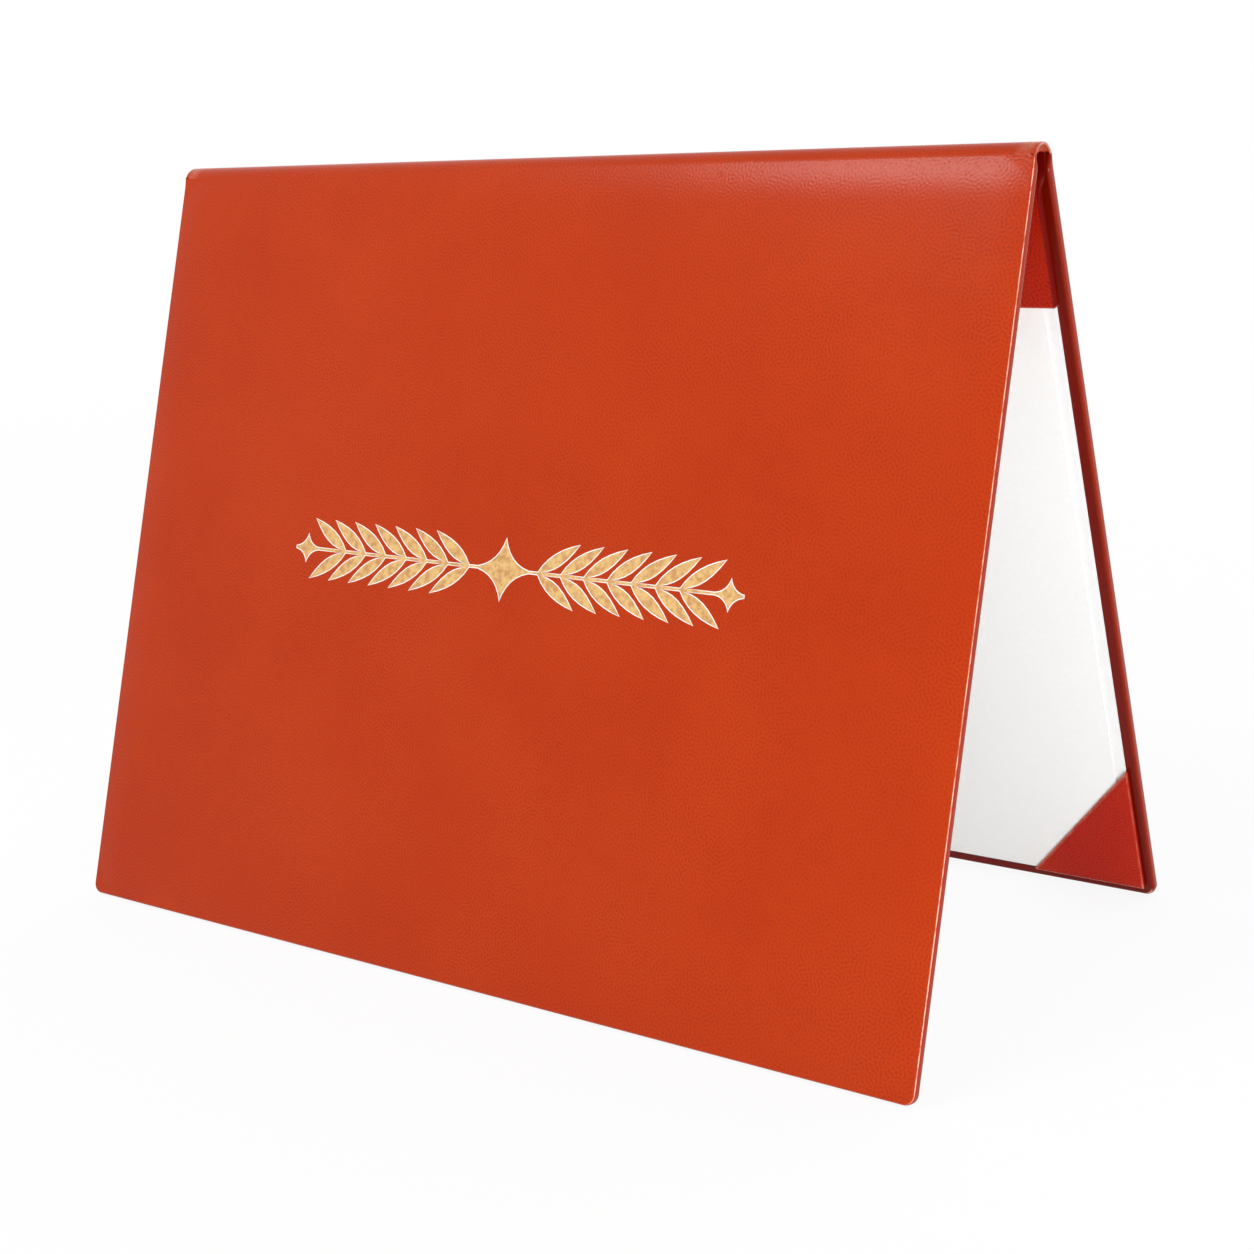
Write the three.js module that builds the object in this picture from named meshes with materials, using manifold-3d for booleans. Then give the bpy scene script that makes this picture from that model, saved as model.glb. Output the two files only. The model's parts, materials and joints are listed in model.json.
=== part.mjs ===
// A tent-style diploma cover: two thinly padded leatherette boards hinged on a rounded spine fold,
// a foil-stamped front, and a blank sheet held inside the back cover.
// Millimetres, +Z up. The spine lies along X, the front cover leans towards -Y, and the bottom
// edges of both covers stand on the plane z = 0, with the origin midway between them.
import * as THREE from 'three';
import * as BufferGeometryUtils from 'three/addons/utils/BufferGeometryUtils.js';
import Module from 'manifold-3d';

// The sheet that the cover is made for, and how far each cover leans
const sheetWidth = 279.4;
const sheetHeight = 215.9;
const sheetThickness = 0.2;
const leanDegrees = 18.3;

// Layers of a cover, from its outer face inwards
const wrapThickness = 0.4;
const paddingThickness = 0.8;
const boardThickness = 1.4;
const linerThickness = 0.6;
const bandThickness = 0.4;
const glueGap = 0.2;

// The padded face drops towards its edges, and the edges are rounded
const rollWidth = 12;
const rollDepth = 0.8;
const edgeRadius = 0.8;
const cornerRadius = 3;
const turnInWidth = 15;
const paddingInset = 3;

// The fold at the top: the boards start below it, and between them the leatherette is on its own
const foldClearance = 0.3;
const boardStart = 7;
const liningSetback = 1;
const closedClearance = 0.4;

// The inside: the liner reaches a little beyond the sheet, and the cover beyond the liner
const sheetTopClearance = 0.2;
const sheetSideClearance = 3.15;
const sheetFootClearance = 0.3;
const linerStart = 7.5;
const linerSideMargin = 3.2;
const linerBottomMargin = 4.1;
const linerCornerRadius = 1.5;
const bandHeight = 31.5;
const pocketThickness = 0.4;
const pocketReachAcross = 34.2;
const pocketReachUp = 42;
const pocketClearance = 0.25;

// The stamped ornament on the front
const ornamentLength = 158;
const ornamentHeight = 18;
const ornamentShift = 2.7;
const ornamentDrop = 112;
const ruleHeight = 1;
const leafPairs = 7;
const leafWidth = 3.6;
const leafFoot = 1.6;
const leafBelly = 0.4;
const lozengeWaist = 0.22;
const leafLeanDegrees = 34;
const foilThickness = 0.1;
const foilGap = 0.1;

// How finely curves are divided
const rollSteps = 5;
const edgeSteps = 3;
const cornerSteps = 5;
const foldSteps = 20;
const leafSteps = 6;

// Depths below the padded face, worked out from the layers
const paddingTop = wrapThickness + glueGap;
const boardTop = paddingTop + paddingThickness + glueGap;
const turnInTop = boardTop + boardThickness + glueGap;
const coverThickness = turnInTop + wrapThickness;
const linerTop = coverThickness + glueGap;
const linerBottom = linerTop + linerThickness;
const frontBandTop = linerBottom + glueGap;
const sheetTop = linerBottom + glueGap;
const backBandTop = sheetTop + sheetThickness + glueGap;
const frontStack = frontBandTop + bandThickness;
const backStack = backBandTop + Math.max(bandThickness, pocketThickness);

// Closed, the two stacks lie face to face between the two hinge lines
const spineWidth = frontStack + backStack + closedClearance - 2 * rollDepth;
const lean = THREE.MathUtils.degToRad(leanDegrees);
const boardInset = wrapThickness + glueGap;

// Distances down from the fold, and half widths, worked out from the sheet
const sheetStart = linerStart + sheetTopClearance;
const sheetEnd = sheetStart + sheetHeight;
const linerEnd = sheetEnd + sheetFootClearance;
const linerHalfWidth = sheetWidth / 2 + sheetSideClearance;
const coverHeight = linerEnd + linerBottomMargin;
const coverWidth = 2 * (linerHalfWidth + linerSideMargin);

const wasm = await Module();
wasm.setup();

const leatherette = { color: 0xb83517, roughness: 0.45, metalness: 0 };
const innerLeatherette = { color: 0xa81a10, roughness: 0.5, metalness: 0 };
const foam = { color: 0xf0ead8, roughness: 0.95, metalness: 0 };
const greyboard = { color: 0x8d867a, roughness: 0.9, metalness: 0 };
const linerPaper = { color: 0xf3f3f1, roughness: 0.7, metalness: 0 };
const sheetPaper = { color: 0xf8f7f3, roughness: 0.8, metalness: 0 };
const goldFoil = { color: 0xc8a064, roughness: 0.3, metalness: 1 };

function makeMesh(name, geometry, finish) {
  const mesh = new THREE.Mesh(geometry, new THREE.MeshStandardMaterial(finish));
  mesh.name = name;
  return mesh;
}

// Turns a closed geometry into a solid that can be joined and cut
function toSolid(geometry) {
  const bare = geometry.clone();
  bare.deleteAttribute('normal');
  bare.deleteAttribute('uv');
  const merged = BufferGeometryUtils.mergeVertices(bare, 1e-5);
  return new wasm.Manifold(new wasm.Mesh({
    numProp: 3,
    vertProperties: new Float32Array(merged.attributes.position.array),
    triVerts: new Uint32Array(merged.index.array),
  }));
}

function toGeometry(solid) {
  const mesh = solid.getMesh();
  const geometry = new THREE.BufferGeometry();
  geometry.setAttribute('position', new THREE.BufferAttribute(mesh.vertProperties, 3));
  geometry.setIndex(new THREE.BufferAttribute(mesh.triVerts, 1));
  geometry.computeVertexNormals();
  return geometry;
}

// A box between two corners, as a solid for cutting
function boxSolid(low, high) {
  const size = new THREE.Vector3().subVectors(high, low);
  const box = new THREE.BoxGeometry(size.x, size.y, size.z);
  box.translate(low.x + size.x / 2, low.y + size.y / 2, low.z + size.z / 2);
  return toSolid(box);
}

// In a cover's own frame the hinge line is the X axis, z falls towards the bottom edge and y grows
// inwards, so a depth below the padded face lies rollDepth nearer the outside
function atDepth(depth) {
  return depth - rollDepth;
}

// One ring of points round a cover, square at the top and rounded at the bottom corners
function coverRing(inset, depth) {
  const tightest = 0.3;
  const topRadius = tightest;
  const bottomRadius = Math.max(cornerRadius - inset, tightest);
  const halfWidth = coverWidth / 2 - inset;
  const top = edgeRadius - inset;
  const bottom = inset - coverHeight;
  const corners = [
    [halfWidth - topRadius, top - topRadius, topRadius],
    [topRadius - halfWidth, top - topRadius, topRadius],
    [bottomRadius - halfWidth, bottom + bottomRadius, bottomRadius],
    [halfWidth - bottomRadius, bottom + bottomRadius, bottomRadius],
  ];
  const ring = [];
  corners.forEach(([x, z, radius], quarter) => {
    for (let i = 0; i <= cornerSteps; i++) {
      const angle = (quarter + i / cornerSteps) * Math.PI / 2;
      const px = x + radius * Math.cos(angle);
      const pz = z + radius * Math.sin(angle);
      ring.push(new THREE.Vector3(px, atDepth(depth), pz));
    }
  });
  return ring;
}

// A closed body through rings that run from the outer face inwards
function loftRings(rings) {
  const count = rings[0].length;
  const positions = rings.flat().flatMap((point) => point.toArray());
  const last = (rings.length - 1) * count;
  const index = [];
  for (let i = 1; i < count - 1; i++) {
    index.push(0, i, i + 1);
    index.push(last, last + i + 1, last + i);
  }
  for (let ring = 0; ring < rings.length - 1; ring++) {
    for (let i = 0; i < count; i++) {
      const here = ring * count + i;
      const next = ring * count + (i + 1) % count;
      index.push(here, next + count, next);
      index.push(here, here + count, next + count);
    }
  }
  const geometry = new THREE.BufferGeometry();
  geometry.setAttribute('position', new THREE.Float32BufferAttribute(positions, 3));
  geometry.setIndex(index);
  geometry.computeVertexNormals();
  return geometry;
}

// The padded face as it drops to a given inset from the edge, moved inwards by shell
function rollRings(shell, lastInset) {
  const rings = [];
  const span = rollWidth - edgeRadius;
  for (let i = 0; i <= rollSteps; i++) {
    const inset = rollWidth - (rollWidth - lastInset) * i / rollSteps;
    const share = (rollWidth - inset) / span;
    rings.push(coverRing(inset, shell + rollDepth * share * share));
  }
  return rings;
}

// The whole cover without its layers: padded face, rounded edges and flat inner side
function coverBody(shell) {
  const rings = rollRings(shell, edgeRadius);
  const radius = edgeRadius - shell;
  for (let i = 1; i <= edgeSteps; i++) {
    const angle = i / edgeSteps * Math.PI / 2;
    const inset = edgeRadius - radius * Math.sin(angle);
    rings.push(coverRing(inset, rollDepth + edgeRadius - radius * Math.cos(angle)));
  }
  for (let i = 0; i <= edgeSteps; i++) {
    const angle = i / edgeSteps * Math.PI / 2;
    const inset = edgeRadius - radius * Math.cos(angle);
    rings.push(coverRing(inset, coverThickness - edgeRadius + radius * Math.sin(angle)));
  }
  return toSolid(loftRings(rings));
}

// Leatherette over the face, round three edges and turned in on the inner side
function wrapGeometry() {
  const beyond = 10;
  const halfOpening = coverWidth / 2 - turnInWidth;
  const kept = boxSolid(
    new THREE.Vector3(-coverWidth, -beyond, -coverHeight - beyond),
    new THREE.Vector3(coverWidth, beyond, -foldClearance),
  );
  const opening = boxSolid(
    new THREE.Vector3(-halfOpening, atDepth(turnInTop - glueGap), turnInWidth - coverHeight),
    new THREE.Vector3(halfOpening, atDepth(coverThickness) + beyond, beyond),
  );
  const hollow = coverBody(wrapThickness);
  const skin = coverBody(0).intersect(kept).subtract(hollow).subtract(opening);
  return toGeometry(skin.subtract(foldTaper()));
}

// The cover thins from its full thickness at the board's top edge to two layers at the fold
function foldTaper() {
  const foldDepth = rollDepth + 2 * wrapThickness;
  const rise = boardStart - foldClearance;
  const slope = Math.atan2(coverThickness - foldDepth, rise);
  const reach = 2 * rise;
  const wedge = new THREE.BoxGeometry(2 * coverWidth, reach, 2 * reach);
  wedge.translate(0, reach / 2, 0);
  wedge.rotateX(slope);
  wedge.translate(0, atDepth(foldDepth), -foldClearance);
  return toSolid(wedge);
}

// Thin foam that fades out towards the edges with the face
function paddingGeometry() {
  const beyond = 10;
  const rings = rollRings(paddingTop, paddingInset);
  rings.push(coverRing(paddingInset, paddingTop + paddingThickness));
  const belowFold = boxSolid(
    new THREE.Vector3(-coverWidth, -beyond, -coverHeight),
    new THREE.Vector3(coverWidth, beyond, -boardStart),
  );
  return toGeometry(toSolid(loftRings(rings)).intersect(belowFold));
}

// A flat sheet in the plane of a cover, from one depth inwards
function flatLayer(outline, depth, thickness) {
  const geometry = new THREE.ExtrudeGeometry(outline, {
    depth: thickness,
    bevelEnabled: false,
    curveSegments: cornerSteps,
  });
  geometry.rotateX(Math.PI / 2);
  geometry.translate(0, atDepth(depth) + thickness, 0);
  return geometry;
}

// A rectangle between two distances from the fold, rounded at its bottom corners
function sheetOutline(halfWidth, start, end, radius) {
  const outline = new THREE.Shape();
  outline.moveTo(halfWidth, -start);
  outline.lineTo(-halfWidth, -start);
  outline.lineTo(-halfWidth, radius - end);
  outline.absarc(radius - halfWidth, radius - end, radius, Math.PI, 1.5 * Math.PI);
  outline.lineTo(halfWidth - radius, -end);
  outline.absarc(halfWidth - radius, radius - end, radius, 1.5 * Math.PI, 2 * Math.PI);
  outline.closePath();
  return outline;
}

function boardGeometry() {
  const halfWidth = coverWidth / 2 - boardInset;
  const end = coverHeight - boardInset;
  const outline = sheetOutline(halfWidth, boardStart, end, cornerRadius - boardInset);
  return flatLayer(outline, boardTop, boardThickness);
}

function linerGeometry() {
  const outline = sheetOutline(linerHalfWidth, linerStart, linerEnd, linerCornerRadius);
  return flatLayer(outline, linerTop, linerThickness);
}

function bandGeometry(depth) {
  const cornerRounding = 0.5;
  const outline = sheetOutline(linerHalfWidth, linerStart, linerStart + bandHeight, cornerRounding);
  return flatLayer(outline, depth, bandThickness);
}

function certificateGeometry() {
  const cornerRounding = 0.2;
  const outline = sheetOutline(sheetWidth / 2, sheetStart, sheetEnd, cornerRounding);
  return flatLayer(outline, sheetTop, sheetThickness);
}

// A three-cornered pocket over one bottom corner of the liner, with its skirts folded down round
// the liner's edges. side is +1 or -1 along the cover's own x.
function pocketGeometry(side) {
  const outer = linerHalfWidth + pocketClearance + pocketThickness;
  const low = linerEnd + pocketClearance + pocketThickness;
  const outline = new THREE.Shape();
  outline.moveTo(side * outer, -low);
  outline.lineTo(side * outer, pocketReachUp - low);
  outline.lineTo(side * (outer - pocketReachAcross), -low);
  outline.closePath();
  const skirtTop = linerTop;
  const skin = toSolid(flatLayer(outline, skirtTop, backBandTop + pocketThickness - skirtTop));
  const linerRoom = boxSolid(
    new THREE.Vector3(-linerHalfWidth - pocketClearance, atDepth(0), -linerEnd - pocketClearance),
    new THREE.Vector3(linerHalfWidth + pocketClearance, atDepth(backBandTop), 0),
  );
  return toGeometry(skin.subtract(linerRoom));
}

// A strip bent round the spine, seen in section and drawn out along X
function foldedStrip(outerRadius, thickness, setback, length) {
  const turn = setback / outerRadius;
  const from = spineLean + turn;
  const to = Math.PI - spineLean - turn;
  const section = new THREE.Shape();
  section.absarc(0, 0, outerRadius, from, to, false);
  section.absarc(0, 0, outerRadius - thickness, to, from, true);
  section.closePath();
  const geometry = new THREE.ExtrudeGeometry(section, {
    depth: length,
    bevelEnabled: false,
    curveSegments: foldSteps,
  });
  const alongX = new THREE.Matrix4().makeBasis(
    new THREE.Vector3(0, 1, 0),
    new THREE.Vector3(0, 0, 1),
    new THREE.Vector3(1, 0, 0),
  );
  geometry.translate(0, 0, -length / 2);
  geometry.applyMatrix4(alongX);
  return geometry;
}

// A pointed leaf standing on the rule at x and leaning by angle, added to a path going right
function addLeaf(path, x, length, angle) {
  const along = new THREE.Vector2(Math.cos(angle), Math.sin(angle));
  const across = new THREE.Vector2(-along.y, along.x);
  const foot = new THREE.Vector2(x, ruleHeight / 2);
  const belly = foot.clone().addScaledVector(along, leafBelly * length);
  const left = belly.clone().addScaledVector(across, leafWidth);
  const right = belly.clone().addScaledVector(across, -leafWidth);
  const tip = foot.clone().addScaledVector(along, length);
  path.lineTo(x - leafFoot / 2, ruleHeight / 2);
  path.quadraticCurveTo(left.x, left.y, tip.x, tip.y);
  path.quadraticCurveTo(right.x, right.y, x + leafFoot / 2, ruleHeight / 2);
}

// The upper half of a lozenge with hollowed sides, added to a path going right
function addLozenge(path, x, reach) {
  path.lineTo(x - reach, ruleHeight / 2);
  path.quadraticCurveTo(x - reach * lozengeWaist, reach * lozengeWaist, x, reach);
  path.quadraticCurveTo(x + reach * lozengeWaist, reach * lozengeWaist, x + reach, ruleHeight / 2);
}

// A sprig of leaves on a rule, with a lozenge in the middle and a small one at each end. Its upper
// outline is drawn from left to right, and its lower outline is the same one mirrored.
function ornamentGeometry() {
  const half = ornamentLength / 2;
  const reach = ornamentHeight / 2;
  const endReach = reach / 2;
  const leafLean = THREE.MathUtils.degToRad(leafLeanDegrees);
  const leafLength = (reach - ruleHeight / 2) / Math.sin(leafLean);
  const leafPitch = (half - reach - leafLength) / leafPairs;
  const upper = new THREE.Path();
  upper.moveTo(-half, ruleHeight / 2);
  addLozenge(upper, endReach - half, endReach);
  for (let i = leafPairs - 1; i >= 0; i--) {
    addLeaf(upper, -reach - leafPitch * (i + 0.5), leafLength, Math.PI - leafLean);
  }
  addLozenge(upper, 0, reach);
  for (let i = 0; i < leafPairs; i++) {
    addLeaf(upper, reach + leafPitch * (i + 0.5), leafLength, leafLean);
  }
  addLozenge(upper, half - endReach, endReach);
  const above = upper.getPoints(leafSteps);
  const below = above.map((point) => new THREE.Vector2(point.x, -point.y)).reverse();
  const outline = new THREE.Shape([...above, ...below]);
  const geometry = new THREE.ExtrudeGeometry(outline, { depth: foilThickness, bevelEnabled: false });
  geometry.rotateX(Math.PI / 2);
  geometry.translate(ornamentShift, atDepth(0) - foilGap, -ornamentDrop);
  return geometry;
}

// Everything that both covers have, in a group that hangs from its hinge line
function coverGroup(name, bandDepth) {
  const group = new THREE.Group();
  group.add(makeMesh(`${name}_wrap`, wrapGeometry(), leatherette));
  group.add(makeMesh(`${name}_padding`, paddingGeometry(), foam));
  group.add(makeMesh(`${name}_board`, boardGeometry(), greyboard));
  group.add(makeMesh(`${name}_liner`, linerGeometry(), linerPaper));
  group.add(makeMesh(`${name}_hinge_band`, bandGeometry(bandDepth), innerLeatherette));
  group.position.y = -spineWidth / 2;
  group.rotation.x = -lean;
  return group;
}

// The spine's curve leaves each hinge line in the direction of the padded face there
const rollSlope = Math.atan(2 * rollDepth / (rollWidth - edgeRadius));
const spineLean = lean + rollSlope;
const spineRadius = spineWidth / 2 / Math.cos(spineLean);

const frontCover = coverGroup('front', frontBandTop);
frontCover.add(makeMesh('foil_ornament', ornamentGeometry(), goldFoil));

const backCover = coverGroup('back', backBandTop);
backCover.add(makeMesh('certificate_sheet', certificateGeometry(), sheetPaper));
backCover.add(makeMesh('corner_pocket_left', pocketGeometry(1), innerLeatherette));
backCover.add(makeMesh('corner_pocket_right', pocketGeometry(-1), innerLeatherette));

// The back cover is the front cover turned round the vertical axis
const backHalf = new THREE.Group();
backHalf.add(backCover);
backHalf.rotation.z = Math.PI;

const spine = new THREE.Group();
const liningRadius = spineRadius - wrapThickness - glueGap;
const liningLength = coverWidth - 2 * boardInset;
const spineWrap = foldedStrip(spineRadius, wrapThickness, foldClearance, coverWidth);
const spineLining = foldedStrip(liningRadius, bandThickness, liningSetback, liningLength);
spine.add(makeMesh('spine_wrap', spineWrap, leatherette));
spine.add(makeMesh('spine_lining', spineLining, innerLeatherette));
spine.position.z = -spineRadius * Math.sin(spineLean);

const diplomaCover = new THREE.Group();
diplomaCover.add(frontCover, backHalf, spine);

// The bottom edges stand on z = 0
diplomaCover.position.z = -new THREE.Box3().setFromObject(diplomaCover, true).min.z;

export default diplomaCover;
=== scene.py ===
import json
import math
import bmesh
import bpy
from mathutils import Matrix, Vector, noise
from mathutils.geometry import interpolate_bezier
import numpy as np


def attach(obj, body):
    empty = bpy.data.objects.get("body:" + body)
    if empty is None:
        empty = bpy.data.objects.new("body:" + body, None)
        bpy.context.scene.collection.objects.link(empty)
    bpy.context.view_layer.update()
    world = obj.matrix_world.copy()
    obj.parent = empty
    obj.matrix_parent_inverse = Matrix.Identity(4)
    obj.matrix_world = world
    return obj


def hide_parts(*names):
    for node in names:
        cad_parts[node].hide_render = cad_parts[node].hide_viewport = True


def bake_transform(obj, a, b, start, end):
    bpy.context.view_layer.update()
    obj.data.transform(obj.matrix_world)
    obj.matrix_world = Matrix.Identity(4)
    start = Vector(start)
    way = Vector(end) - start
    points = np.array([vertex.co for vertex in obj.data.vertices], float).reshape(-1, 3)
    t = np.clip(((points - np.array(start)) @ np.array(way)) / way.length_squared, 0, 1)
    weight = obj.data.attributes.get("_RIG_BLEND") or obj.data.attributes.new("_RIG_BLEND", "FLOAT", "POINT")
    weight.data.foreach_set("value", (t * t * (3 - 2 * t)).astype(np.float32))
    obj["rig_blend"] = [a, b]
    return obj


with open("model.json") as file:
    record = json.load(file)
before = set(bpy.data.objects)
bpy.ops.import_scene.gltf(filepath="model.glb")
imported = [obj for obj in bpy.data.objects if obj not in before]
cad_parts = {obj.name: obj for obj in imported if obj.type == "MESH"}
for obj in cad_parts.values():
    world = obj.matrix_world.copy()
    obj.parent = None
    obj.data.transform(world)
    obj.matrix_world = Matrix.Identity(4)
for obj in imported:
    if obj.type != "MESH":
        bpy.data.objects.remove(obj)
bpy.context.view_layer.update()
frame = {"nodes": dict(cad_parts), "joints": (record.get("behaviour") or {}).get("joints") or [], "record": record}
mm = 0.001
tiny = 0.001 * mm  # closer than this is the same place

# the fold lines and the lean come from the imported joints
joints = {joint["name"]: joint for joint in frame["joints"]}
foldLine = Vector(joints["front_fold"]["pos_m"])
lean = -math.radians(joints["front_fold"]["range_deg"][0])
frontPlace = Matrix.Translation(foldLine) @ Matrix.Rotation(-lean, 4, "X")
backPlace = Matrix.Rotation(math.pi, 4, "Z") @ frontPlace
print("frame loaded, lean", round(math.degrees(lean), 2))

# camera: solved from the cover's outline, angles in degrees, lens and sensor in millimetres
camera = {
    "position": Vector((362.9, -472.4, 241.1)) * mm, "azimuth": 36.441, "elevation": 14.82, "roll": -3.41,
    "lens": 59.865, "sensor": 36, "nearest": 0.01, "furthest": 20,
}


def addCamera():
    data = bpy.data.cameras.new("camera")
    made = bpy.data.objects.new("camera", data)
    bpy.context.scene.collection.objects.link(made)
    bpy.context.scene.camera = made
    azimuth = math.radians(camera["azimuth"])
    elevation = math.radians(camera["elevation"])
    roll = math.radians(camera["roll"])
    level = Vector((math.sin(azimuth), -math.cos(azimuth), 0))
    back = level * math.cos(elevation) + Vector((0, 0, math.sin(elevation)))
    right = (-back).cross(Vector((0, 0, 1))).normalized()
    up = right.cross(-back)
    rolledRight = right * math.cos(roll) + up * math.sin(roll)
    rolledUp = up * math.cos(roll) - right * math.sin(roll)
    turn = Matrix((rolledRight, rolledUp, back)).transposed().to_4x4()
    made.matrix_world = Matrix.Translation(camera["position"]) @ turn
    data.sensor_width = camera["sensor"]
    data.lens = camera["lens"]
    data.clip_start = camera["nearest"]
    data.clip_end = camera["furthest"]


addCamera()
print("camera placed")


# shader sums written as plain Python
class Wire:
    def __init__(self, finish, socket):
        self.finish = finish
        self.socket = socket

    def calc(self, operation, other):
        return self.finish.node("ShaderNodeMath", {"operation": operation}, {0: self, 1: other})

    def __add__(self, other):
        return self.calc("ADD", other)

    def __mul__(self, other):
        return self.calc("MULTIPLY", other)

    __radd__ = __add__
    __rmul__ = __mul__


# the nodes of one material, or of the world
class Finish:
    def __init__(self, owner, shader="Principled BSDF"):
        owner.use_nodes = True
        self.material = owner
        self.tree = owner.node_tree
        self.shader = self.tree.nodes[shader]

    # any node: its settings first, then the values or links of its sockets
    def node(self, kind, settings, sockets, output=0):
        made = self.tree.nodes.new(kind)
        for name, value in settings.items():
            if name == "stops":
                for stop, (at, tone) in zip(made.color_ramp.elements, value):
                    stop.position = at
                    stop.color = (tone, tone, tone, 1)
            else:
                setattr(made, name, value)
        for name, value in sockets.items():
            self.feed(made.inputs[name], value)
        return Wire(self, made.outputs[output])

    def feed(self, socket, value):
        if isinstance(value, Wire):
            self.tree.links.new(value.socket, socket)
        else:
            socket.default_value = value

    def set(self, name, value):
        self.feed(self.shader.inputs[name], value)

    def place(self):
        return self.node("ShaderNodeTexCoord", {}, {}, "Object")

    def painted(self, name, output="Fac"):
        return self.node("ShaderNodeAttribute", {"attribute_name": name}, {}, output)

    def cloud(self, scale, detail=2.0, roughness=0.5):
        return self.node("ShaderNodeTexNoise", {}, {
            "Vector": self.place(), "Scale": scale, "Detail": detail, "Roughness": roughness})

    def ramp(self, value, stops):
        return self.node("ShaderNodeValToRGB", {"stops": stops}, {"Fac": value})

    # a Mix node takes its colours at inputs 6 and 7 and gives one at output 2
    def mix(self, share, first, second, blend="MIX"):
        return self.node("ShaderNodeMix", {"data_type": "RGBA", "blend_type": blend},
                         {0: share, 6: first, 7: second}, 2)

    # 1 for what is seen directly, in a reflection or through something clear
    def seen(self):
        kinds = ("Is Camera Ray", "Is Glossy Ray", "Is Transmission Ray")
        straight, glossy, through = (self.node("ShaderNodeLightPath", {}, {}, kind) for kind in kinds)
        return straight.calc("MAXIMUM", glossy).calc("MAXIMUM", through)

    def bump(self, height, strength, distance):
        self.set("Normal", self.node("ShaderNodeBump", {}, {
            "Height": height, "Strength": strength, "Distance": distance}))


# a screen colour, 0 to 255, as the shaders take it
def linear(red, green, blue):
    def one(value):
        share = value / 255
        return share / 12.92 if share <= 0.04045 else ((share + 0.055) / 1.055) ** 2.4
    return (one(red), one(green), one(blue), 1.0)


# leatherette: fine wrinkled grain, patchy tone, a paler line along edges that is partly wear and partly painted
# highlight, and painted shade in recesses and on side faces
def leatherFinish(name, look):
    finish = Finish(bpy.data.materials.new(name))
    patches = finish.cloud(look["patchScale"], detail=3.0)
    toned = finish.mix(finish.ramp(patches, look["patchStops"]), look["deep"], look["light"])
    grain = finish.node("ShaderNodeTexGabor", {"gabor_type": "2D"}, {
        "Vector": finish.painted("flat", "Vector"), "Scale": look["grainScale"],
        "Frequency": look["grainFrequency"], "Anisotropy": 0.0})
    pores = finish.cloud(look["poreScale"])
    strong = finish.ramp(finish.cloud(look["grainPatchScale"]), look["grainPatchStops"])
    # painted shade: the colour is multiplied towards the shade colour where the mesh marks a recess or side face
    shaded = finish.mix(finish.painted("paintedShade"), toned, look["shade"], "MULTIPLY")
    valleys = finish.ramp(grain, look["valleyStops"])
    creased = finish.mix(valleys * strong * look["creaseTone"], shaded, look["crease"])
    # the pale edge line, partly wear and partly a painted highlight, broken by noise and mixed towards the pale
    # tone
    broken = finish.ramp(finish.cloud(look["wearAndHighlightScale"], detail=3.0, roughness=0.6), look["wearAndHighlightStops"])
    wornAndHighlit = finish.painted("wearAndHighlight") * (broken * (1 - look["wearAndHighlightLeast"]) + look["wearAndHighlightLeast"])
    finish.set("Base Color", finish.mix(wornAndHighlit * look["wearAndHighlightShare"], creased, look["wornAndHighlitTone"]))
    finish.set("Roughness", patches * look["roughSpread"] + look["rough"] + pores * look["poreRough"])
    finish.set("Specular IOR Level", look["specular"])
    finish.bump(grain * strong + pores * look["poreShare"], 1.0, look["relief"])
    return finish.material


outerLook = {
    "deep": linear(174, 49, 2), "light": linear(179, 54, 4), "crease": linear(122, 16, 0),
    # the shade colour below is the painted shade of recesses and side faces
    "shade": linear(158, 92, 92), "patchScale": 22.0, "patchStops": ((0.35, 0.0), (0.65, 1.0)),
    "grainScale": 335.0, "grainFrequency": 2.7, "valleyStops": ((0.46, 0.0), (0.66, 1.0)),
    "grainPatchScale": 40.0, "grainPatchStops": ((0.36, 0.6), (0.7, 1.0)), "creaseTone": 0.34,
    "poreScale": 2400.0, "poreShare": 0.35, "poreRough": 0.05,
    # the pale tone of edges, partly wear and partly painted highlight
    "wornAndHighlitTone": linear(255, 216, 190), "wearAndHighlightShare": 0.75, "wearAndHighlightLeast": 0.25,
    "wearAndHighlightScale": 260.0, "wearAndHighlightStops": ((0.36, 0.0), (0.56, 1.0)),
    "rough": 0.23, "roughSpread": 0.02, "specular": 0.15, "relief": 0.045 * mm,
}
innerLook = dict(outerLook, deep=linear(176, 28, 2), light=linear(186, 38, 5),
                 crease=linear(112, 8, 2), creaseTone=0.55, rough=0.36, specular=0.16, relief=0.07 * mm)
leather = leatherFinish("leatherette", outerLook)
innerLeather = leatherFinish("inner_leatherette", innerLook)


# papers and boards: a fibrous tone with a very shallow tooth
def fibreFinish(name, look):
    finish = Finish(bpy.data.materials.new(name))
    fibres = finish.cloud(look["fibreScale"], detail=4.0, roughness=0.6)
    spread = finish.ramp(fibres, look["fibreStops"])
    finish.set("Base Color", finish.mix(spread, look["deep"], look["light"]))
    finish.set("Roughness", fibres * look["roughSpread"] + look["rough"])
    finish.set("Specular IOR Level", look["specular"])
    finish.bump(fibres, look["toothStrength"], look["tooth"])
    return finish.material


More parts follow.
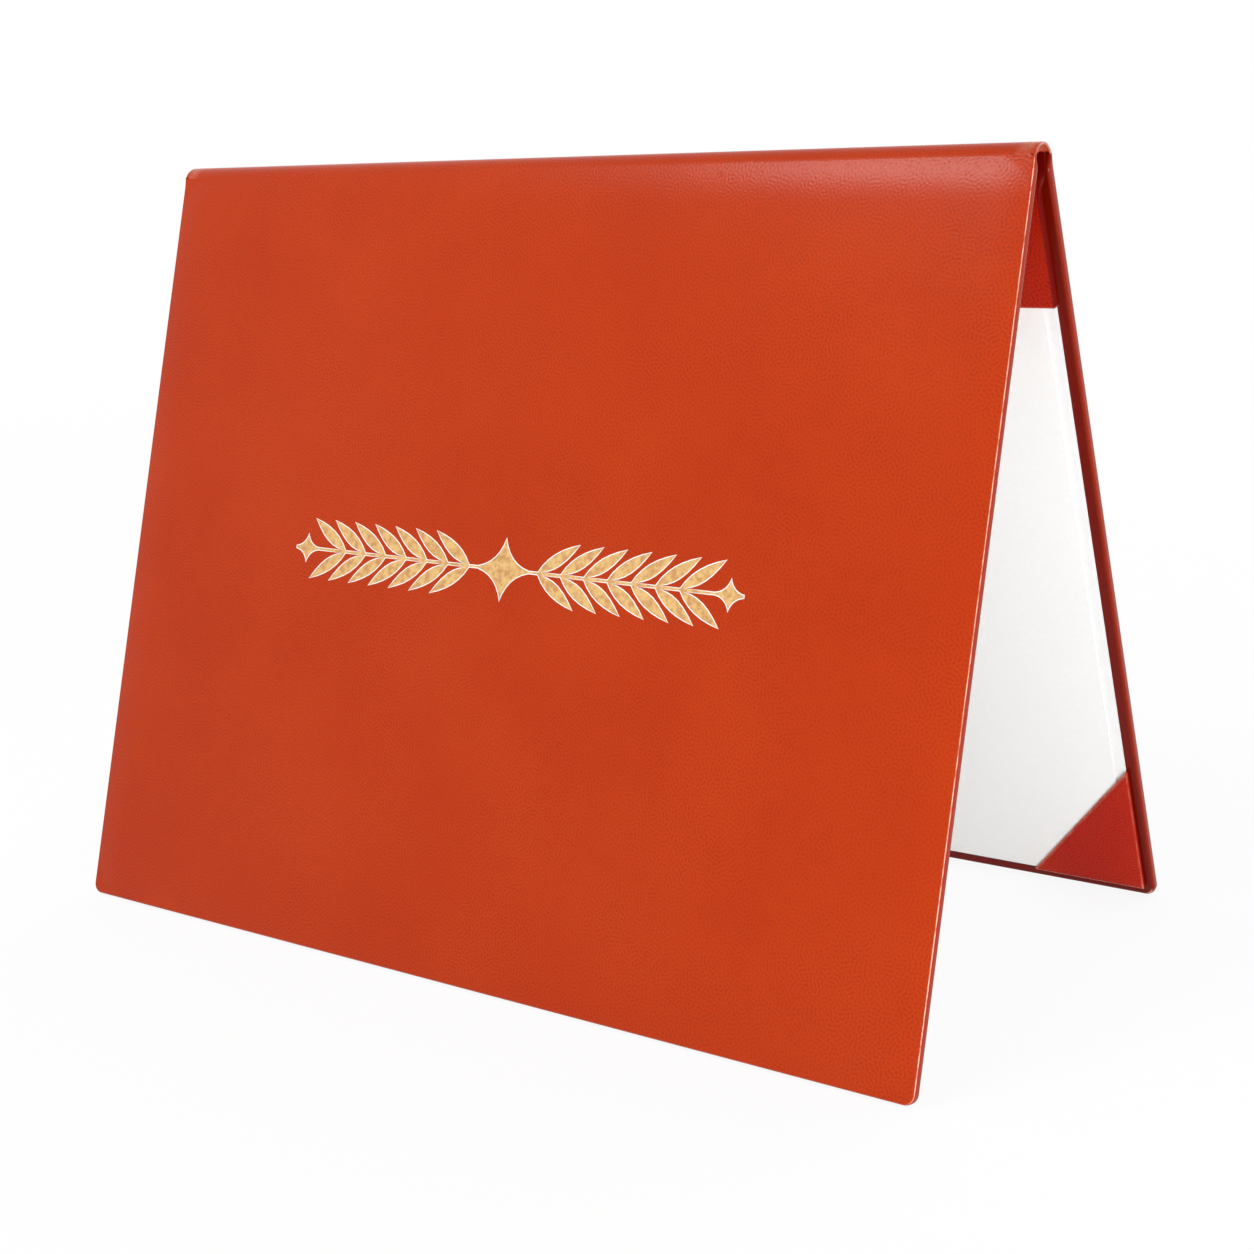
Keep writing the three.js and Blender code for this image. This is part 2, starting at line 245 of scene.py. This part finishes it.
sheetLook = {
    "deep": linear(249, 249, 247), "light": linear(253, 253, 252), "fibreScale": 900.0,
    "fibreStops": ((0.3, 0.0), (0.7, 1.0)), "rough": 0.62, "roughSpread": 0.15, "specular": 0.25,
    "toothStrength": 0.4, "tooth": 0.003 * mm,
}
linerLook = dict(sheetLook, deep=linear(246, 246, 246), light=linear(251, 251, 251), fibreScale=420.0)
boardLook = dict(sheetLook, deep=linear(128, 120, 108), light=linear(160, 152, 140), tooth=0.05 * mm)
foamLook = dict(sheetLook, deep=linear(226, 220, 202), light=linear(240, 236, 222), tooth=0.1 * mm)
sheetPaper = fibreFinish("sheet_paper", sheetLook)
linerPaper = fibreFinish("liner_paper", linerLook)
greyboard = fibreFinish("greyboard", boardLook)
foam = fibreFinish("padding_foam", foamLook)


# hot-stamped foil: gold with rubbed patches, and a painted pale silver highlight along the rim where the leather
# rises
def foilFinish(name, look):
    finish = Finish(bpy.data.materials.new(name))
    rubbed = finish.ramp(finish.cloud(look["rubScale"], detail=3.0, roughness=0.65), look["rubStops"])
    gold = finish.mix(rubbed, look["gold"], look["rubbed"])
    # painted highlight: the rim is mixed towards a pale silver
    finish.set("Base Color", finish.mix(finish.painted("rim"), gold, look["rimHighlight"]))
    finish.set("Metallic", look["metallic"])
    finish.set("Roughness", rubbed * look["roughSpread"] + look["rough"])
    finish.bump(finish.cloud(look["toothScale"]), look["toothStrength"], look["tooth"])
    return finish.material


foilLook = {
    # the pale silver of the rim is a painted highlight
    "gold": linear(228, 188, 122), "rubbed": linear(198, 146, 92), "rimHighlight": linear(250, 246, 240),
    "rubScale": 520.0, "rubStops": ((0.42, 0.0), (0.62, 1.0)), "metallic": 0.6,
    "rough": 0.3, "roughSpread": 0.15, "toothScale": 1500.0, "toothStrength": 0.5, "tooth": 0.02 * mm,
}
goldFoil = foilFinish("gold_foil", foilLook)
print("finishes made")


# 0 up to 0, 1 from 1 on, and an even curve between
def smoothStep(value):
    share = min(max(value, 0.0), 1.0)
    return share * share * (3 - 2 * share)


# evenly spaced places from low to high, about a pitch apart
def stepped(low, high, pitch):
    count = max(1, round((high - low) / pitch))
    return [low + (high - low) * i / count for i in range(count + 1)]


# an upright rectangle that faces outwards, from left to right and from low to high
def uprightPanel(left, right, low, high):
    bm = bmesh.new()
    bmesh.ops.create_grid(bm, x_segments=1, y_segments=1, size=0.5)
    bmesh.ops.rotate(bm, verts=bm.verts, matrix=Matrix.Rotation(math.pi / 2, 3, "X"))
    bmesh.ops.scale(bm, verts=bm.verts, vec=(right - left, 1, high - low))
    bmesh.ops.translate(bm, verts=bm.verts, vec=((left + right) / 2, 0, (low + high) / 2))
    return bm


def cutAcross(bm, axis, places):
    for place in places:
        everything = bm.verts[:] + bm.edges[:] + bm.faces[:]
        bmesh.ops.bisect_plane(bm, geom=everything, dist=tiny / 10, plane_co=axis * place, plane_no=axis)


# what the finishes read: the place on the unrolled leatherette, the pale edge line of wear and painted highlight,
# and the painted shade
def paintLayers(bm):
    floats = bm.verts.layers.float
    return bm.verts.layers.float_vector.new("flat"), floats.new("wearAndHighlight"), floats.new("paintedShade")


# one more row beyond an open edge: its vertices and its new open edge
def extruded(bm, rim):
    grown = bmesh.ops.extrude_edge_only(bm, edges=rim)["geom"]
    fresh = {item for item in grown if isinstance(item, bmesh.types.BMVert)}
    edges = [item for item in grown if isinstance(item, bmesh.types.BMEdge) and item.is_boundary]
    return fresh, [edge for edge in edges if all(vert in fresh for vert in edge.verts)]


def addPiece(name, bm, place, finish, sharp=35, smooth=True):
    bmesh.ops.remove_doubles(bm, verts=bm.verts, dist=tiny / 10)
    bmesh.ops.transform(bm, matrix=place, verts=bm.verts)
    mesh = bpy.data.meshes.new(name)
    bm.to_mesh(mesh)
    bm.free()
    mesh.materials.append(finish)
    if smooth:
        mesh.shade_smooth()
        mesh.set_sharp_from_angle(angle=math.radians(sharp))
    piece = bpy.data.objects.new(name, mesh)
    bpy.context.scene.collection.objects.link(piece)
    return piece


# a cover's own frame: x along the fold, y inwards from the fold line, z up towards the fold
cover = {
    "width": 292.1 * mm, "height": 228 * mm, "thickness": 3.6 * mm, "leather": 0.4 * mm,
    "rollWidth": 12 * mm, "rollDepth": 0.8 * mm, "edgeRadius": 0.8 * mm, "cornerRadius": 3 * mm,
    "taper": 3.5 * mm, "pitch": 8 * mm, "arcSteps": 6,
    "sway": 0.04 * mm, "swayScale": 18,  # the padding's slight unevenness
    "nearEdge": (0.3, 0.8, 1.5, 2.2, 3.2, 4.4, 5.8, 7.4, 9.2, 11.2),  # rows in from the edge, in mm
    "turnInRows": (1.1, 1.6, 2.4, 3.2, 4.5, 7.0, 11.0, 15.0),  # rows on the inner side, in mm
    # the painted shade on the side and the turn-in, and how the pale edge line of wear and painted highlight fades
    # at the foot and grows round the corners
    "footWearAndHighlight": 0.2, "cornerWearAndHighlightGain": 6, "sideShade": 0.5, "edgeShade": 0.9,
}


# how far the padded face lies below its flat middle
def faceDrop(x, z):
    span = cover["rollWidth"] - cover["edgeRadius"]
    nearSide = (cover["rollWidth"] - cover["width"] / 2 + abs(x)) / span
    nearFoot = (cover["rollWidth"] - cover["height"] - z) / span
    nearFold = (span + z) / span
    share = sum(min(max(near, 0.0), 1.0) ** 2 for near in (nearSide, nearFoot, nearFold))
    share = min(share, 1.0)
    sway = noise.noise(Vector((x, z, 0)) * cover["swayScale"]) * cover["sway"]
    return cover["rollDepth"] * share + sway * (1 - share)


# the cover thins towards the fold, where it is only two layers of leatherette
def thinned(depth, z):
    full = cover["thickness"] - cover["rollDepth"]
    least = 2 * cover["leather"] / full
    share = least + (1 - least) * smoothStep(-z / cover["taper"])
    return cover["rollDepth"] + (depth - cover["rollDepth"]) * share


# rounds the panel's lower corners, by the usual square-to-disc mapping
def roundCorner(vert, centre, radius):
    sideways = (abs(vert.co.x) - centre.x) / radius
    downwards = (centre.z - vert.co.z) / radius
    if sideways > tiny and downwards > tiny:
        side = math.copysign(1, vert.co.x)
        vert.co.x = side * (centre.x + radius * sideways * math.sqrt(1 - downwards * downwards / 2))
        vert.co.z = centre.z - radius * downwards * math.sqrt(1 - sideways * sideways / 2)


# the padded face up to its rounded edge, and the centre of its lower right corner
def coverFace():
    radius = cover["edgeRadius"]
    halfWidth = cover["width"] / 2 - radius
    foot = radius - cover["height"]
    bm = uprightPanel(-halfWidth, halfWidth, foot, 0)
    near = [d * mm for d in cover["nearEdge"]]
    middle = stepped(near[-1] - halfWidth, halfWidth - near[-1], cover["pitch"])[1:-1]
    cutAcross(bm, Vector((1, 0, 0)), [d - halfWidth for d in near] + middle + [halfWidth - d for d in near])
    middle = stepped(foot + near[-1], -near[-1], cover["pitch"])[1:-1]
    cutAcross(bm, Vector((0, 0, 1)), [foot + d for d in near] + middle + [-d for d in near])
    arc = cover["cornerRadius"] - radius
    centre = Vector((halfWidth - arc, 0, foot + arc))
    for vert in bm.verts:
        roundCorner(vert, centre, arc)
        vert.co.y = faceDrop(vert.co.x, vert.co.z) - cover["rollDepth"]
    return bm, centre


# the rows beyond the face: round the outer edge, down the side, round the inner edge, over the turn-in
def edgeRows():
    radius = cover["edgeRadius"]
    steps = cover["arcSteps"]
    sideShade = cover["sideShade"]
    # each row carries the pale edge line of wear and painted highlight, and the painted shade
    rows = []
    for i in range(1, steps + 1):
        angle = math.pi / 2 * i / steps
        rows.append({
            "inset": radius - radius * math.sin(angle),
            "depth": cover["rollDepth"] + radius - radius * math.cos(angle),
            "wearAndHighlight": max(0, 1 - abs(i - steps / 2)), "cornerWearAndHighlight": 0.0,
            "shade": sideShade * max(0, 2 * i / steps - 1)})
    for i in range(steps + 1):
        angle = math.pi / 2 * i / steps
        rows.append({
            "inset": radius - radius * math.cos(angle),
            "depth": cover["thickness"] - radius + radius * math.sin(angle),
            "wearAndHighlight": 0.0, "cornerWearAndHighlight": math.sin(angle),
            "shade": sideShade + (cover["edgeShade"] - sideShade) * i / steps})
    for inset in cover["turnInRows"]:
        rows.append({"inset": inset * mm, "depth": cover["thickness"], "wearAndHighlight": 0.0, "cornerWearAndHighlight": 0.0,
                     "shade": 1.0})
    return rows


# which way the outline faces at a vertex of the open edge
def outwardFrom(vert, centre):
    sideways = abs(vert.co.x) - centre.x
    downwards = centre.z - vert.co.z
    if sideways > tiny and downwards > tiny:
        return Vector((math.copysign(sideways, vert.co.x), 0, -downwards)).normalized()
    if sideways > downwards:
        return Vector((math.copysign(1, vert.co.x), 0, 0))
    return Vector((0, 0, -1))


# the leatherette of one cover: padded face, rounded edges and turned-in margins, with its thickness
def coverWrap(name, place):
    bm, centre = coverFace()
    radius = cover["edgeRadius"]
    flat, wearAndHighlight, paintedShade = paintLayers(bm)
    base = bm.verts.layers.float_vector.new("base")
    outward = bm.verts.layers.float_vector.new("outward")
    for vert in bm.verts:
        vert[flat] = (vert.co.x, vert.co.z, 0)
        vert[base] = vert.co
    rim = [edge for edge in bm.edges if edge.is_boundary and min(vert.co.z for vert in edge.verts) < -tiny]
    for vert in {vert for edge in rim for vert in edge.verts}:
        vert[outward] = outwardFrom(vert, centre)
    reach = 0
    last = (radius, cover["rollDepth"])
    for row in edgeRows():
        inset = row["inset"]
        reach += math.dist(last, (inset, row["depth"]))
        last = (inset, row["depth"])
        fresh, rim = extruded(bm, rim)
        limit = cover["width"] / 2 - inset
        for vert in fresh:
            at = vert[base] + vert[outward] * (radius - inset)
            vert.co.x = min(max(at.x, -limit), limit)
            vert.co.z = max(at.z, inset - cover["height"])
            vert.co.y = thinned(row["depth"], vert.co.z) - cover["rollDepth"]
            unrolled = vert[base] + vert[outward] * reach
            vert[flat] = (unrolled.x, unrolled.z, 0)
            corner = min(1, cover["cornerWearAndHighlightGain"] * (vert[outward].x * vert[outward].z) ** 2)
            kept = 1 + (1 - cover["footWearAndHighlight"]) * vert[outward].z
            # pale line on the edge's rounding, partly wear and partly painted highlight, weaker at the foot and
            # stronger round the corners
            vert[wearAndHighlight] = row["wearAndHighlight"] * kept + row["cornerWearAndHighlight"] * corner
            # painted shade, growing over the side face to the turn-in
            vert[paintedShade] = row["shade"]
    for layer in ("base", "outward"):
        bm.verts.layers.float_vector.remove(bm.verts.layers.float_vector[layer])
    bmesh.ops.remove_doubles(bm, verts=bm.verts, dist=tiny)
    bmesh.ops.dissolve_degenerate(bm, edges=bm.edges, dist=tiny / 10)
    bm.normal_update()
    bmesh.ops.solidify(bm, geom=bm.faces[:], thickness=cover["leather"])
    return addPiece(name, bm, place, leather)


frontWrap = coverWrap("front_leatherette", frontPlace)
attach(frontWrap, "front_cover")
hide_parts("front_wrap")
backWrap = coverWrap("back_leatherette", backPlace)
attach(backWrap, "back_cover")
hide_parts("back_wrap")
print("covers wrapped")

# the bend over the spine: its section carried round an arc between the fold lines
spine = {
    # the lip's pale line, partly wear and partly painted highlight
    "steps": 28, "foldSteps": 5, "lipRadius": 0.4 * mm, "lipWearAndHighlight": 0.45,
    "flap": ((1.4 * mm, 3 * mm), (0.9 * mm, 2.2 * mm), (0.7 * mm, 1.3 * mm)),  # in from the end, depth
    "crown": ((2 * mm, 0.2), (6 * mm, 0.0)),  # in from the end, wear and painted highlight
    # the flap's depth and lift, and the painted shade that deepens into it
    "flapFrom": 1 * mm, "flapSide": 1 * mm, "flapLift": 0.35 * mm, "flapFade": 1 * mm, "flapShade": 0.25,
}
spineLean = lean + math.atan(2 * cover["rollDepth"] / (cover["rollWidth"] - cover["edgeRadius"]))
spineRadius = -foldLine.y / math.cos(spineLean)
spineCentre = Vector((0, 0, foldLine.z - spineRadius * math.sin(spineLean)))


# the bend's section as (x, depth, wear): the flap folded under each end, the lip and the crown
def spineSection():
    lip = spine["lipRadius"]
    end = cover["width"] / 2
    points = [(end - back, depth, 0) for back, depth in spine["flap"]]
    for i in range(spine["foldSteps"] + 1):
        angle = math.pi * i / spine["foldSteps"]
        # pale line over the lip, partly wear and partly painted highlight
        wornAndHighlit = spine["lipWearAndHighlight"] * math.sin(angle)
        points.append((end - lip + lip * math.sin(angle), lip + lip * math.cos(angle), wornAndHighlit))
    points += [(end - back, 0, wornAndHighlit) for back, wornAndHighlit in spine["crown"]]
    return points + [(-x, depth, wornAndHighlit) for x, depth, wornAndHighlit in reversed(points)]


def spineFold():
    bm = bmesh.new()
    flat, wearAndHighlight, paintedShade = paintLayers(bm)
    toFold = Vector((0, -math.cos(spineLean), math.sin(spineLean)))
    verts = []
    for x, depth, wornAndHighlit in spineSection():
        vert = bm.verts.new(spineCentre + toFold * (spineRadius - depth) + Vector((x, 0, 0)))
        vert[wearAndHighlight] = wornAndHighlit
        # painted shade deepening into the flap folded under each end
        vert[paintedShade] = spine["flapShade"] * smoothStep(depth / spine["flapFade"])
        verts.append(vert)
    edges = [bm.edges.new(pair) for pair in zip(verts, verts[1:])]
    bmesh.ops.spin(bm, geom=verts + edges, cent=spineCentre, axis=(1, 0, 0), angle=2 * spineLean - math.pi,
                   steps=spine["steps"], use_merge=False)
    bmesh.ops.recalc_face_normals(bm, faces=bm.faces)
    chord = foldLine.z + spine["flapLift"] - spineCentre.z
    inside = cover["width"] / 2 - spine["flapSide"]
    for vert in bm.verts:
        height = vert.co.z - spineCentre.z
        turn = math.atan2(height, -vert.co.y)
        vert[flat] = (vert.co.x, turn * spineRadius, 0)
        inFlap = spineRadius - math.hypot(height, vert.co.y) > spine["flapFrom"]
        if inFlap and (height < chord or abs(vert.co.x) < inside):
            vert.co.y *= chord / height
            vert.co.z = spineCentre.z + chord
    return addPiece("spine_leatherette", bm, Matrix.Identity(4), leather)


spineWrap = spineFold()
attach(spineWrap, "spine")
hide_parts("spine_wrap")
print("spine folded")

# inner hinge strips: each lies on a liner, steps down off its edge and lines the spine to the crown
strip = {
    "halfWidth": 142.85 * mm, "thickness": 0.4 * mm, "frontDepth": 5.0 * mm, "backDepth": 5.4 * mm,
    # includes the strength of the low edge's pale line, partly wear and partly painted highlight
    "low": 39 * mm, "bend": 9.5 * mm, "edge": 0.4 * mm, "pitch": 6 * mm, "lowWearAndHighlight": 0.3,
    "skirtOut": 0.45 * mm, "skirtDepth": 3.8 * mm, "widening": 1.7 * mm, "bendBlend": 6 * mm,
    "leaveBand": 3 * mm, "leaveCrown": 1.5 * mm, "joinSteps": 10,
    "crownDepth": 1.0 * mm, "crownRadius": 2.6 * mm, "crownStart": math.radians(30), "crownSteps": 8,
}


# the strip's open side as points in the cover's own frame, from its low edge to the crown
def stripPath(depth):
    heights = stepped(-strip["low"], -strip["bend"], strip["pitch"])
    heights.insert(1, heights[0] + strip["edge"])
    path = [Vector((0, depth - cover["rollDepth"], z)) for z in heights]
    radius = strip["crownRadius"]
    centre = spineCentre + Vector((0, 0, spineRadius - strip["crownDepth"] - radius))
    first = strip["crownStart"]
    arch = []
    for turn in stepped(first, math.pi / 2, (math.pi / 2 - first) / strip["crownSteps"]):
        at = centre + Vector((0, -radius * math.cos(turn), radius * math.sin(turn)))
        arch.append(frontPlace.inverted() @ at)
    fromBand = path[-1] + Vector((0, 0, strip["leaveBand"]))
    toCrown = arch[0] + (arch[0] - arch[1]).normalized() * strip["leaveCrown"]
    join = interpolate_bezier(path[-1], fromBand, toCrown, arch[0], strip["joinSteps"])
    return path + [Vector(point) for point in join[1:-1]] + arch


def hingeStrip(name, place, depth):
    bm = bmesh.new()
    flat, wearAndHighlight, paintedShade = paintLayers(bm)
    half = strip["halfWidth"]
    skirt = depth - strip["skirtDepth"]
    inner = stepped(strip["edge"] - half, half - strip["edge"], strip["pitch"])
    across = [-half - strip["skirtOut"], -half] + inner + [half, half + strip["skirtOut"]]
    row = [bm.verts.new((x, 0, 0)) for x in across]
    for vert in row:
        vert[flat] = vert.co
    rim = [bm.edges.new(pair) for pair in zip(row, row[1:])]
    path = stripPath(depth)
    reach = 0
    for index, point in enumerate(path):
        if index > 0:
            row, rim = extruded(bm, rim)
            reach += (point - path[index - 1]).length
        share = smoothStep((reach - strip["low"] + strip["bend"]) / strip["bendBlend"])
        for vert in row:
            x = vert[flat].x
            atSide = abs(x) > half - tiny
            outside = abs(x) > half + tiny
            wide = math.copysign(strip["widening"] * share, x) if atSide else 0
            drop = skirt * (1 - share) if outside else 0
            vert.co = point + Vector((x + wide, -drop, 0))
            vert[flat] = (x, reach, 0)
            # pale line on the low edge, partly wear and partly painted highlight
            vert[wearAndHighlight] = strip["lowWearAndHighlight"] if index == 0 else 0.0
            # painted shade on the skirts, rising as the strip bends up into the spine
            vert[paintedShade] = 1.0 if atSide else share
    bm.normal_update()
    bmesh.ops.solidify(bm, geom=bm.faces[:], thickness=strip["thickness"])
    piece = addPiece(name, bm, place, innerLeather)
    start = place @ Vector((0, depth - cover["rollDepth"], -strip["bend"]))
    end = place @ path[-1 - strip["crownSteps"]]
    return piece, start, end


frontStrip, start, end = hingeStrip("front_hinge_strip", frontPlace, strip["frontDepth"])
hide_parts("front_hinge_band", "spine_lining")
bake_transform(frontStrip, "front_cover", "spine", start=tuple(start), end=tuple(end))
backStrip, start, end = hingeStrip("back_hinge_strip", backPlace, strip["backDepth"])
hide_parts("back_hinge_band")
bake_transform(backStrip, "back_cover", "spine", start=tuple(start), end=tuple(end))
print("spine lined")

# corner pockets: three-cornered leatherette over the liner's corner, its outer edges folded down
pocket = {
    "across": 34.2 * mm, "up": 42 * mm, "outer": 143.5 * mm, "low": 224.55 * mm, "top": 5.4 * mm,
    "skirt": 3.8 * mm, "thickness": 0.4 * mm, "radius": 0.5 * mm, "pitch": 2.5 * mm, "steps": 4,
    "swell": 0.2 * mm, "swellWidth": 8 * mm, "hemDip": 0.175 * mm, "hemFade": 0.9 * mm,
    "hemRows": (2.4 * mm, 1.0 * mm, 0.0), "grainShift": (0.31, 0.17), "sharp": 50,
    # the pale lines on the hem and the folded edges, partly wear and partly painted highlight
    "hemWearAndHighlight": 0.35, "footWearAndHighlight": 0.6, "sideWearAndHighlight": 0.12,
}


# the pocket's face: a panel cut along the slanted hem, its outer corner at the origin
def pocketFace():
    wide = pocket["across"] - pocket["radius"]
    tall = pocket["up"] - pocket["radius"]
    bm = uprightPanel(-wide, 0, 0, tall)
    cutAcross(bm, Vector((1, 0, 0)), stepped(-wide, 0, pocket["pitch"])[1:-1])
    cutAcross(bm, Vector((0, 0, 1)), stepped(0, tall, pocket["pitch"])[1:-1])
    hemEnd = Vector((-wide, 0, 0))
    slant = Vector((-tall, 0, wide)).normalized()
    for inset in pocket["hemRows"]:
        bmesh.ops.bisect_plane(bm, geom=bm.verts[:] + bm.edges[:] + bm.faces[:], dist=tiny,
                               plane_co=hemEnd - slant * inset, plane_no=slant, clear_outer=inset == 0)
    return bm, hemEnd, slant


def cornerPocket(name, side):
    bm, hemEnd, slant = pocketFace()
    radius = pocket["radius"]
    flat, wearAndHighlight, paintedShade = paintLayers(bm)
    base = bm.verts.layers.float_vector.new("base")
    shiftX, shiftZ = pocket["grainShift"]
    for vert in bm.verts:
        fromHem = -slant.dot(vert.co - hemEnd)
        atHem = 1 - smoothStep(fromHem / pocket["hemFade"])
        inner = min(fromHem, -vert.co.x, vert.co.z) / pocket["swellWidth"]
        vert.co.y = pocket["swell"] * smoothStep(inner) - pocket["hemDip"] * atHem
        vert[flat] = (vert.co.x + shiftX, vert.co.z + shiftZ, 0)
        # pale line along the hem, partly wear and partly painted highlight
        vert[wearAndHighlight] = pocket["hemWearAndHighlight"] * atHem
        vert[base] = vert.co
    rim = [edge for edge in bm.edges if edge.is_boundary and (
        all(abs(vert.co.x) < tiny for vert in edge.verts) or
        all(abs(vert.co.z) < tiny for vert in edge.verts))]
    skirt = pocket["top"] - pocket["skirt"]
    drops = [(radius * math.sin(angle), radius * (1 - math.cos(angle)), math.sin(2 * angle))
             for angle in stepped(0, math.pi / 2, math.pi / 2 / pocket["steps"])[1:]]
    drops.append((radius, skirt, 0.0))
    for out, down, wornAndHighlit in drops:
        fresh, rim = extruded(bm, rim)
        for vert in fresh:
            origin = vert[base]
            onSide = abs(origin.x) < tiny
            onFoot = abs(origin.z) < tiny
            vert.co = Vector((out if onSide else origin.x, origin.y - down, -out if onFoot else origin.z))
            # pale line on the fold's rounding, partly wear and partly painted highlight
            vert[wearAndHighlight] = wornAndHighlit * (pocket["footWearAndHighlight"] if onFoot else pocket["sideWearAndHighlight"])
            # painted shade down the pocket's folded skirts
            vert[paintedShade] = min(1.0, down / skirt)
    bm.verts.layers.float_vector.remove(bm.verts.layers.float_vector["base"])
    corner = (pocket["outer"] - radius, pocket["top"] - cover["rollDepth"], radius - pocket["low"])
    bmesh.ops.translate(bm, verts=bm.verts, vec=corner)
    if side < 0:
        bmesh.ops.scale(bm, verts=bm.verts, vec=(-1, 1, 1))
    else:
        bmesh.ops.reverse_faces(bm, faces=bm.faces)
    bm.normal_update()
    bmesh.ops.solidify(bm, geom=bm.faces[:], thickness=pocket["thickness"])
    piece = addPiece(name, bm, backPlace, innerLeather, sharp=pocket["sharp"])
    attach(piece, "back_cover")
    return piece


leftPocket = cornerPocket("pocket_left", 1)
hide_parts("corner_pocket_left")
rightPocket = cornerPocket("pocket_right", -1)
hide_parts("corner_pocket_right")
print("pockets folded")

# the foil ornament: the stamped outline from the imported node, pressed close to the leather
foil = {"rim": 0.26 * mm, "blend": 0.05 * mm, "lift": 0.05 * mm, "sink": 0.12 * mm,
        "facing": 0.9, "flatAngle": math.radians(2)}


def stampedFoil():
    bm = bmesh.new()
    bm.from_mesh(frame["nodes"]["foil_ornament"].data)
    bmesh.ops.transform(bm, matrix=frontPlace.inverted(), verts=bm.verts)
    bmesh.ops.remove_doubles(bm, verts=bm.verts, dist=tiny)
    bm.normal_update()
    unseen = [face for face in bm.faces if face.normal.y > -foil["facing"]]
    bmesh.ops.delete(bm, geom=unseen, context="FACES")
    bmesh.ops.dissolve_limit(bm, angle_limit=foil["flatAngle"], verts=bm.verts, edges=bm.edges)
    # the rim marks where the painted highlight goes
    rim = bm.verts.layers.float.new("rim")
    inner = bm.faces[:]
    for thickness in (foil["rim"], foil["blend"]):
        for vert in bm.verts:
            vert[rim] = 1.0
        bmesh.ops.inset_region(bm, faces=inner, thickness=thickness, use_even_offset=False,
                               use_boundary=True)
    for vert in {vert for face in inner for vert in face.verts}:
        vert[rim] = 0.0
    for vert in bm.verts:
        vert.co.y = -cover["rollDepth"] - foil["lift"]
    lowRow = extruded(bm, [edge for edge in bm.edges if edge.is_boundary])[0]
    for vert in lowRow:
        vert.co.y = foil["sink"] - cover["rollDepth"]
    return addPiece("stamped_foil", bm, frontPlace, goldFoil, smooth=False)


stamped = stampedFoil()
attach(stamped, "front_cover")
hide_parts("foil_ornament")
print("foil stamped")

# soft studio light: a panel above the front, a low fill that reaches the inside, a large one behind
lights = {
    "key": {"at": (-0.17, -0.44, 0.65), "size": (0.27, 0.065), "watts": 1.6},
    "inside": {"at": (0.76, -0.46, 0.06), "size": (0.4, 0.1), "watts": 3.5},
    "back": {"at": (0.2, 1.2, 0.9), "size": (1.4, 0.9), "watts": 5.0},
}
room = {
    "aim": (0, 0, 0.1), "ambient": 0.75, "floorSize": 6.0, "floorDrop": 0.2 * mm, "floorTone": 0.93,
    "floorWhite": 0.9, "fadeFrom": 0.3, "fadeTo": 1.6,
}
white = (1, 1, 1, 1)


def addLights():
    for name, look in lights.items():
        data = bpy.data.lights.new(name, "AREA")
        data.shape = "RECTANGLE"
        data.size, data.size_y = look["size"]
        data.energy = look["watts"]
        made = bpy.data.objects.new(name, data)
        made.location = look["at"]
        away = Vector(look["at"]) - Vector(room["aim"])
        made.rotation_euler = away.to_track_quat("Z", "Y").to_euler()
        bpy.context.scene.collection.objects.link(made)


def addWorld():
    world = bpy.data.worlds.new("studio")
    studio = Finish(world, "Background")
    studio.set("Color", white)
    studio.set("Strength", studio.seen() * (1 - room["ambient"]) + room["ambient"])
    bpy.context.scene.world = world


# the floor keeps the cover's shadow, and fades to plain white with distance
def addFloor():
    bm = bmesh.new()
    bmesh.ops.create_grid(bm, x_segments=1, y_segments=1, size=room["floorSize"] / 2)
    finish = Finish(bpy.data.materials.new("floor"))
    tone = room["floorTone"]
    finish.set("Base Color", (tone, tone, tone, 1))
    finish.set("Roughness", 1.0)
    finish.set("Specular IOR Level", 0.0)
    lit = Wire(finish, finish.shader.outputs[0])
    glow = finish.node("ShaderNodeEmission", {}, {"Color": white, "Strength": 1.0})
    distance = finish.node("ShaderNodeVectorMath", {"operation": "LENGTH"}, {0: finish.place()}, "Value")
    pale = finish.node("ShaderNodeMapRange", {"interpolation_type": "SMOOTHSTEP"}, {
        "Value": distance, "From Min": room["fadeFrom"], "From Max": room["fadeTo"],
        "To Min": room["floorWhite"], "To Max": 1.0})
    blend = finish.node("ShaderNodeMixShader", {}, {0: finish.seen() * pale, 1: lit, 2: glow})
    finish.feed(finish.tree.nodes["Material Output"].inputs["Surface"], blend)
    floor = addPiece("floor", bm, Matrix.Translation((0, 0, -room["floorDrop"])), finish.material)


addLights()
addWorld()
addFloor()
bpy.context.scene.view_settings.view_transform = "Standard"
print("studio set")

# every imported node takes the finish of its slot
slotFinish = {
    "leatherette": leather, "inner_leatherette": innerLeather, "padding_foam": foam, "greyboard": greyboard,
    "liner_paper": linerPaper, "sheet_paper": sheetPaper, "gold_foil": goldFoil,
}
for part in frame["record"]["subparts"]:
    node = frame["nodes"][part["node"]]
    node.data.materials.clear()
    node.data.materials.append(slotFinish[part["material_slot"]])
print("finishes on the packed nodes")
